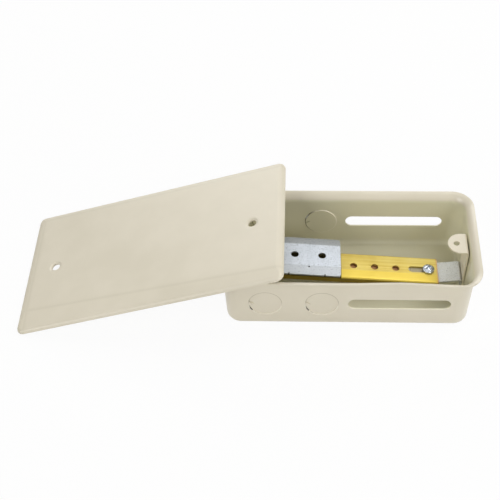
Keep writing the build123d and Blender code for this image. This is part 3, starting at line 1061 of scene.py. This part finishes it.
@dataclass
class ClampScrews:
    """Two pan head machine screws with a cross recess, which clamp the bar and the saddle.

    Attributes:
        bar: Axes of the bar that they stand on.
        seats_mm: Distance from the bar's right end and height above its top, for each screw.
        turns_deg: How far each recess is turned.
        head_mm: Radius of the head and height of its middle.
        dome_mm: Radius of the sphere of its top.
        edge_mm: Height and inset of its rounded lower edge.
        recess_mm: Half width of the recess's arms, their reach and their depth.
        thread_mm: Outer radius of the shank, depth and pitch of its thread, and its length.
        ends_mm: Depth at which the thread starts, and height and inset of the shank's tip.
        rows: Rows of points across an arm, beside it, and down one turn of the thread.
        flank: Place of the first row beside an arm, in half widths of the arm.
    """

    bar: BarFrame
    seats_mm: tuple[tuple[float, float], ...] = ((6.6, 0.0), (125.7, 1.2))
    turns_deg: tuple[float, ...] = (28.0, 12.0)
    head_mm: tuple[float, float] = (4.1, 3.1)
    dome_mm: float = 5.79
    edge_mm: tuple[float, float] = (0.28, 0.25)
    recess_mm: tuple[float, float, float] = (0.5, 2.4, 1.5)
    thread_mm: tuple[float, float, float, float] = (2.0, 0.3, 0.7, 8.0)
    ends_mm: tuple[float, float] = (0.3, 0.5)
    rows: tuple[int, int, int] = (5, 13, 4)
    flank: float = 1.12

    def head(self) -> np.ndarray:
        """Grid of points on the head's top.

        A square of parameters from -1 to 1 is bent to a disc: x is s times the root of 1 less
        half of t squared, and y the same with s and t exchanged, times the head's radius. The
        height is that of a sphere, less the recess where |s| or |t| is within an arm, whose
        depth falls with the square of the distance from the axis to 0 at the arm's reach.

        Returns:
            Points by row and column.
        """
        radius, height = self.head_mm
        half, reach, depth = self.recess_mm
        wall = half / radius
        side = np.linspace(self.flank * wall, 1.0, self.rows[1])
        knots = np.concatenate([-side[::-1], np.linspace(-wall, wall, self.rows[0]), side])
        s, t = np.meshgrid(knots, knots, indexing="ij")
        x = radius * s * np.sqrt(1 - t * t / 2)
        y = radius * t * np.sqrt(1 - s * s / 2)
        apart = np.hypot(x, y)
        z = height - self.dome_mm + np.sqrt(self.dome_mm**2 - apart**2)
        arm = np.minimum(np.abs(s), np.abs(t)) < wall * (1 + self.flank) / 2
        z -= np.where(arm, depth * np.clip(1 - (apart / reach) ** 2, 0.0, 1.0), 0.0)
        return np.stack([x, y, z], axis=-1)

    def screw(self) -> tuple[np.ndarray, list[list[int]]]:
        """Points and faces of one screw, its axis along z and its head on z = 0.

        Below the grid of the head the rings follow its border's angles: the side, the rounded
        lower edge, the flat seat, and the shank, whose radius swings with the height in units
        of the pitch plus the angle in turns. A middle point closes the tip.

        Returns:
            Points in millimetres and rows of point numbers.
        """
        radius = self.head_mm[0]
        edge, inset = self.edge_mm
        shank, cut, pitch, length = self.thread_mm
        start, taper = self.ends_mm
        top = self.head()
        count = len(top)
        numbers = np.arange(count * count).reshape(count, count)
        border = np.concatenate(
            [numbers[:-1, 0], numbers[-1, :-1], numbers[:0:-1, -1], numbers[0, :0:-1]]
        )
        flat = top.reshape(-1, 3)
        angles = np.arctan2(flat[border, 1], flat[border, 0])
        rows = np.arange(-start, taper - length, -pitch / self.rows[2])
        profile = [(radius, edge), (radius - inset, 0.0), (shank, 0.0)]
        swing = (rows[:, None] / pitch + angles[None, :] / math.tau) % 1.0
        threads = shank - cut * np.abs(2 * swing - 1)
        radii = np.vstack(
            [np.full((1, len(angles)), ring[0]) for ring in profile]
            + [threads, np.full((1, len(angles)), shank - taper)]
        )
        heights = np.concatenate([[ring[1] for ring in profile], rows, [-length]])
        heights = np.broadcast_to(heights[:, None], radii.shape)
        rings = np.stack([radii * np.cos(angles), radii * np.sin(angles), heights], axis=-1)
        points = np.vstack([flat, rings.reshape(-1, 3), [[0.0, 0.0, -length]]])
        below = numbers.size + np.arange(radii.size).reshape(radii.shape)
        loops = np.vstack([border, below])
        onward = np.roll(loops, -1, axis=1)
        sides = np.stack([loops[:-1], loops[1:], onward[1:], onward[:-1]], axis=-1)
        grid = np.stack(
            [numbers[:-1, :-1], numbers[1:, :-1], numbers[1:, 1:], numbers[:-1, 1:]], axis=-1
        )
        tip = np.full(len(angles), len(points) - 1)
        cap = np.stack([loops[-1], tip, onward[-1]], axis=-1)
        faces = grid.reshape(-1, 4).tolist() + sides.reshape(-1, 4).tolist() + cap.tolist()
        return points, faces

    def build(self, material: bpy.types.Material) -> None:
        """Makes both screws as one piece.

        Args:
            material: Finish of the screws.
        """
        own, faces = self.screw()
        points, loops = [], []
        for number, ((along, rise), turn) in enumerate(zip(self.seats_mm, self.turns_deg)):
            cos, sin = math.cos(math.radians(turn)), math.sin(math.radians(turn))
            turned = own @ np.array([[cos, sin, 0.0], [-sin, cos, 0.0], [0.0, 0.0, 1.0]])
            points.append(self.bar.place(turned, along, rise))
            loops += [[corner + number * len(own) for corner in face] for face in faces]
        piece = new_piece("pan_head_screws", np.vstack(points), loops)
        place_piece(piece, material, "clamp_screws")


@dataclass
class ShadeStrip:
    """A thin brown strip inside the channel of the bar, painted shade seen through its holes.

    Attributes:
        bar: Axes of the bar that it lies in.
        reach_mm: Its right and left end, from the bar's right end.
        width_mm: Width of the strip.
        depths_mm: Depth of its upper and lower face below the bar's top.
    """

    bar: BarFrame
    reach_mm: tuple[float, float] = (24.0, 108.0)
    width_mm: float = 19.6
    depths_mm: tuple[float, float] = (2.3, 3.1)

    def build(self, material: bpy.types.Material) -> None:
        """Makes the strip as a block of six faces.

        Args:
            material: Finish of the strip.
        """
        half = self.width_mm / 2
        x, y, z = np.meshgrid(
            (-self.reach_mm[1], -self.reach_mm[0]),
            (-half, half),
            (-self.depths_mm[1], -self.depths_mm[0]),
            indexing="ij",
        )
        own = np.stack([x, y, z], axis=-1).reshape(-1, 3)
        faces = [[0, 1, 3, 2], [4, 6, 7, 5], [0, 4, 5, 1], [2, 3, 7, 6], [0, 2, 6, 4], [1, 5, 7, 3]]
        piece = new_piece("shade_strip", self.bar.place(own, 0.0), faces)
        place_piece(piece, material)


@dataclass(frozen=True)
class SoftLamp:
    """One soft lamp: its name, power in watts and place in metres."""

    name: str
    watts: float
    place_m: tuple[float, float, float]


@dataclass
class Studio:
    """Pale floor, soft lamps and the camera at the photograph's viewing angle.

    Attributes:
        lens_px: Focal length in pixels of the frame.
        yaw_deg: Turn of the camera from +Y to the right.
        pitch_deg: How far it looks down.
        roll_deg: Its turn about the view direction.
        camera_mm: Its place.
        clip_m: How far it sees.
        floor_gap_mm: Gap below the object, so that floor and underside don't coincide.
        shadow_share: How much of the object's shadow the floor shows.
    """

    lens_px: float = 1121.0
    frame_px: float = 500.0
    sensor_mm: float = 36.0
    yaw_deg: float = -3.58
    pitch_deg: float = 47.23
    roll_deg: float = -2.21
    camera_mm: tuple[float, float, float] = (-34.1, -528.4, 605.0)
    clip_m: float = 20.0
    floor_m: float = 6.0
    floor_gap_mm: float = 0.2
    floor_colour: str = "#F4F4F2"
    shadow_share: float = 0.06
    lamp_size_m: float = 0.7
    lamps: tuple[SoftLamp, ...] = (
        SoftLamp("right_front", 4.2, (0.7237, -0.8624, 0.65)),
        SoftLamp("right", 4.1, (1.1087, -0.1955, 0.65)),
        SoftLamp("high_right", 7.5, (0.5629, 0.325, 1.1258)),
        SoftLamp("back", 6.0, (-0.3851, 1.0579, 0.65)),
        SoftLamp("left_front", 7.2, (-0.8624, -0.7237, 0.65)),
    )

    def camera(self) -> None:
        """Sets the camera from its yaw, pitch, roll and place.

        The view direction is turned from +Y by the yaw and tipped down by the pitch. The level
        right and up directions are then turned about it by the roll.
        """
        turns = (self.yaw_deg, self.pitch_deg, self.roll_deg)
        yaw, pitch, roll = (math.radians(turn) for turn in turns)
        flat = math.cos(pitch)
        ahead = Vector((math.sin(yaw) * flat, math.cos(yaw) * flat, -math.sin(pitch)))
        level = Vector((math.cos(yaw), -math.sin(yaw), 0.0))
        above = level.cross(ahead)
        right = math.cos(roll) * level + math.sin(roll) * above
        up = -math.sin(roll) * level + math.cos(roll) * above
        lens = bpy.data.cameras.new("camera")
        lens.sensor_width = self.sensor_mm
        lens.lens = self.lens_px / self.frame_px * self.sensor_mm
        lens.clip_end = self.clip_m
        camera = in_scene("camera", lens)
        turn = Matrix((right, up, -ahead)).transposed()
        camera.matrix_world = Matrix.Translation(Vector(self.camera_mm) * MM) @ turn.to_4x4()
        bpy.context.scene.camera = camera

    def hang(self, lamp: SoftLamp) -> None:
        """Hangs a square soft lamp that looks at the object.

        Args:
            lamp: The lamp.
        """
        light = bpy.data.lights.new(lamp.name, "AREA")
        light.energy = lamp.watts
        light.size = self.lamp_size_m
        hung = in_scene(lamp.name, light)
        hung.location = lamp.place_m
        hung.rotation_mode = "QUATERNION"
        hung.rotation_quaternion = Vector(lamp.place_m).to_track_quat("Z", "Y")

    def seen(self, add: Adder) -> Socket:
        """Tells rays that show a surface from light that falls on it.

        Args:
            add: Adds a node to the tree.

        Returns:
            1 for rays from the camera or a reflection, 0 for light.
        """
        path = add("LightPath")
        rays = {0: path["Is Camera Ray"], 1: path["Is Glossy Ray"]}
        return add("Math", {"operation": "MAXIMUM"}, rays)[0]

    def floor(self) -> None:
        """A wide pale floor, shown almost white, on which the object keeps a faint shadow."""
        half = self.floor_m / 2
        mesh = bpy.data.meshes.new("floor")
        low = -self.floor_gap_mm * MM
        corners = [(-half, -half, low), (half, -half, low), (half, half, low), (-half, half, low)]
        mesh.from_pydata(corners, [], [(0, 1, 2, 3)])
        material = bpy.data.materials.new("pale_floor")
        add = fresh_nodes(material)
        matt = add("BsdfDiffuse", {"Color": linear(self.floor_colour)})
        white = add("Emission", {"Strength": 1.0})
        weaken = {"operation": "MULTIPLY", 1: 1.0 - self.shadow_share}
        share = add("Math", weaken, {0: self.seen(add)})[0]
        both = add("MixShader", links={0: share, 1: matt[0], 2: white[0]})
        add("OutputMaterial", links={"Surface": both[0]})
        mesh.materials.append(material)
        in_scene("floor", mesh)

    def world(self) -> None:
        """A sky that is white to the camera and to reflections and lights nothing itself."""
        world = bpy.data.worlds.new("sky")
        add = fresh_nodes(world)
        white = {"Color": linear("#FFFFFF")}
        sky = add("Background", white, {"Strength": self.seen(add)})
        add("OutputWorld", links={"Surface": sky[0]})
        bpy.context.scene.world = world

    def build(self) -> None:
        """Sets the whole stage."""
        self.camera()
        self.floor()
        self.world()
        for lamp in self.lamps:
            self.hang(lamp)
        bpy.context.scene.view_settings.view_transform = "Standard"


@dataclass
class Enclosure:
    """The whole object: its pieces and their finishes.

    Attributes:
        bar: Axes of the bar, which the screws, the strip and the bar's finish share.
        edge_mm: Width of the softened edges of the pressed pieces.
        thin_edge_mm: The same on the straps.
    """

    bar: BarFrame = field(default_factory=BarFrame)
    edge_mm: float = 0.15
    thin_edge_mm: float = 0.12

    def build(self) -> None:
        """Builds and dresses each piece in turn."""
        coats = (PowderCoat, PunchedCoat, PressedCoat)
        coat, punched, pressed = (kind().material() for kind in coats)
        # The saddle's sloping sides get painted shade.
        sheet = GalvanisedSheet(wing_mm=(-0.4, 9.9)).material()
        # The strap gets painted shade where it runs under the bar.
        dull = GalvanisedSheet(
            name="galvanised_strap",
            bright="#CFD1CF",
            mid="#C8C9C4",
            dark="#BCBCB0",
            speck="#A2A39E",
            metallic=0.6,
            under_bar_shade_mm=(63.5, 62.5),
        ).material()
        gold = YellowZinc(slope=self.bar.slope, top_m=self.bar.top_m).material()
        # The strip's brown finish is painted shade inside the bar's channel.
        shade = dict.fromkeys(("gold", "band", "rose", "side"), "#B58458")
        brown = YellowZinc(
            name="yellow_zinc_in_shade", pale="#BE8F64", deep="#A9784C", metallic=0.0, **shade
        ).material()
        plate = BrightPlate().material()
        for part, finish in (
            (BoxBody("box_body", Slot.CREAM), punched),
            (CoverPlate("cover_plate", Slot.CREAM, crease_deg=40.0), pressed),
            (DressedNode("ear_bracket_right", Slot.CREAM, self.edge_mm), coat),
            (DressedNode("ear_bracket_left", Slot.CREAM, self.edge_mm), coat),
            (DressedNode("foot_strap_right", Slot.GALVANISED, self.thin_edge_mm), dull),
            (DressedNode("foot_strap_left", Slot.GALVANISED, self.thin_edge_mm), dull),
            (DressedNode("saddle_plate", Slot.GALVANISED, self.edge_mm), sheet),
            (DressedNode("slotted_bar", Slot.YELLOW, self.edge_mm), gold),
            (ShadeStrip(self.bar), brown),
            (ClampScrews(self.bar), plate),
            (DressedNode("clamp_nuts", Slot.BRIGHT, self.edge_mm), plate),
            (DressedNode("strap_rivets", Slot.RIVET), plate),
        ):
            part.build(finish)


def main() -> None:
    """Builds the stage and the object."""
    logging.basicConfig(level=logging.INFO, format="%(name)s: %(message)s")
    Studio().build()
    Enclosure().build()


if __name__ == "__main__":
    main()
